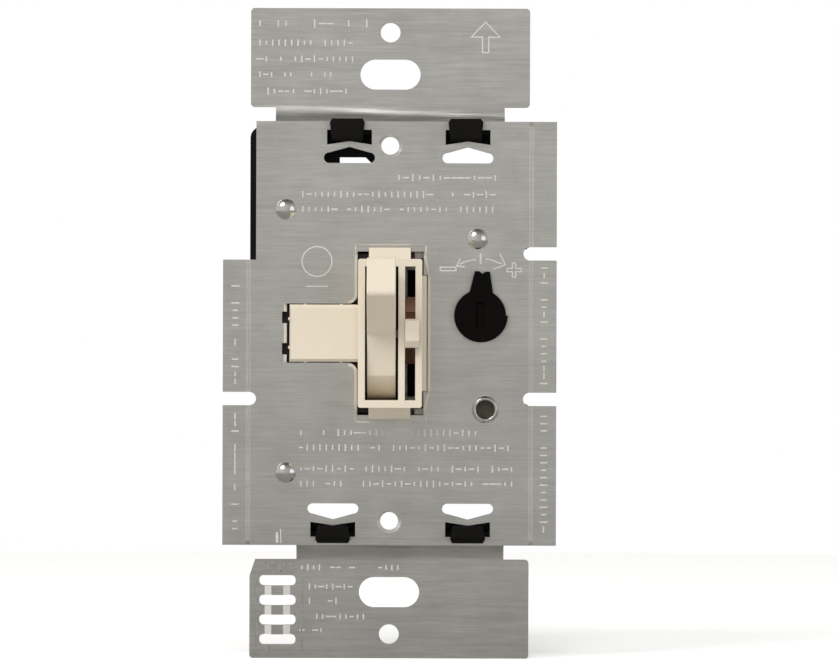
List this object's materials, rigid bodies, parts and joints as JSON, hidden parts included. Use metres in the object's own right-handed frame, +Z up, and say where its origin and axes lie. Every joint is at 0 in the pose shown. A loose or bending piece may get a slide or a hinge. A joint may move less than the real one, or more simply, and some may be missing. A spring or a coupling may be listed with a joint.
{
  "type": "toggle dimmer switch",
  "caption": "Single-gang toggle light switch with a slide dimmer control and a small trim dial on a metal heat-sink yoke with break-off fins.",
  "frame": {"origin": "midway between the two wall-screw slots, in the plane of the back of the ears, which lies on the wall or box rim", "axes": "+Z up, +X to the right seen from the front, -Y out of the wall towards the user"},
  "size_m": [0.0536, 0.047, 0.1046],
  "materials": {
    "brushed_aluminium": "fine horizontal grain, bare",
    "rivet_metal": "bright, domed by the setting tool",
    "eyelet_metal": "plated",
    "brass_strip": "stamped strip",
    "almond_plastic": "moulded, satin gloss",
    "steel_pin": "ground",
    "brown_phenolic": "matt",
    "spring_bronze": "thin strip",
    "pot_steel": "pressed sheet",
    "carbon_strip": "printed carbon on board",
    "black_dial": "moulded",
    "white_plastic": "moulded",
    "blue_plastic": "moulded",
    "frame_plastic": "moulded, glass filled",
    "spring_steel": "tempered strip",
    "shuttle_plastic": "moulded",
    "copper_blade": "copper strip",
    "board_laminate": "glass epoxy",
    "triac_body": "epoxy body on a metal tab",
    "thermal_pad": "silicone pad",
    "choke_core": "painted iron powder",
    "copper_wire": "enamelled wire",
    "film_capacitor": "dipped film",
    "capacitor_sleeve": "shrink sleeve",
    "resistor_body": "lacquer",
    "diac_glass": "glass body",
    "clamp_steel": "zinc plated",
    "brass_screw": "machined",
    "black_screw": "black oxide",
    "cover_plastic": "moulded thermoset"
  },
  "bodies": {
    "chassis": {"yoke_plate": "brushed_aluminium", "rivets": "rivet_metal", "eyelet": "eyelet_metal", "ground_tab": "brass_strip", "bezel": "almond_plastic", "pivot_pin": "steel_pin", "slide_pot_case": "pot_steel", "resistive_strip": "carbon_strip", "trim_pot_case": "blue_plastic", "mechanism_frame": "frame_plastic", "detent_spring": "spring_steel", "fixed_contacts": "brass_strip", "circuit_board": "board_laminate", "triac": "triac_body", "triac_pad": "thermal_pad", "choke_core": "choke_core", "choke_winding": "copper_wire", "film_capacitor": "film_capacitor", "electrolytic_capacitors": "capacitor_sleeve", "resistors": "resistor_body", "diac": "diac_glass", "terminal_plates": "brass_strip", "terminal_clamps": "clamp_steel", "traveller_screws": "brass_screw", "common_screw": "black_screw", "back_cover": "cover_plastic"},
    "toggle": {"toggle_lever": "almond_plastic"},
    "contact_slider": {"contact_shuttle": "shuttle_plastic", "bridging_contact": "copper_blade"},
    "slider": {"slide_knob": "almond_plastic", "slide_carriage": "brown_phenolic", "wiper_contact": "spring_bronze"},
    "dial": {"trim_dial": "black_dial", "trim_rotor": "white_plastic"}
  },
  "joints": [
    {"name": "toggle_swing", "type": "hinge", "parent": "chassis", "child": "toggle", "pos_m": [-0.0013, 0.0014, 0], "axis": [1, 0, 0], "range_deg": [0, 54], "deforming": ["detent_spring"]},
    {"name": "contact_travel", "type": "slide", "parent": "chassis", "child": "contact_slider", "axis": [0, 0, 1], "range_m": [0, 0.00708]},
    {"name": "slide_travel", "type": "slide", "parent": "chassis", "child": "slider", "axis": [0, 0, 1], "range_m": [-0.008, 0.008]},
    {"name": "dial_turn", "type": "hinge", "parent": "chassis", "child": "dial", "pos_m": [0.0145, 0, 0.0029], "axis": [0, -1, 0], "range_deg": [-40, 40]}
  ],
  "couplings": [
    {"joint": "contact_travel", "follows": "toggle_swing", "m_per_rad": 0.0075145}
  ]
}
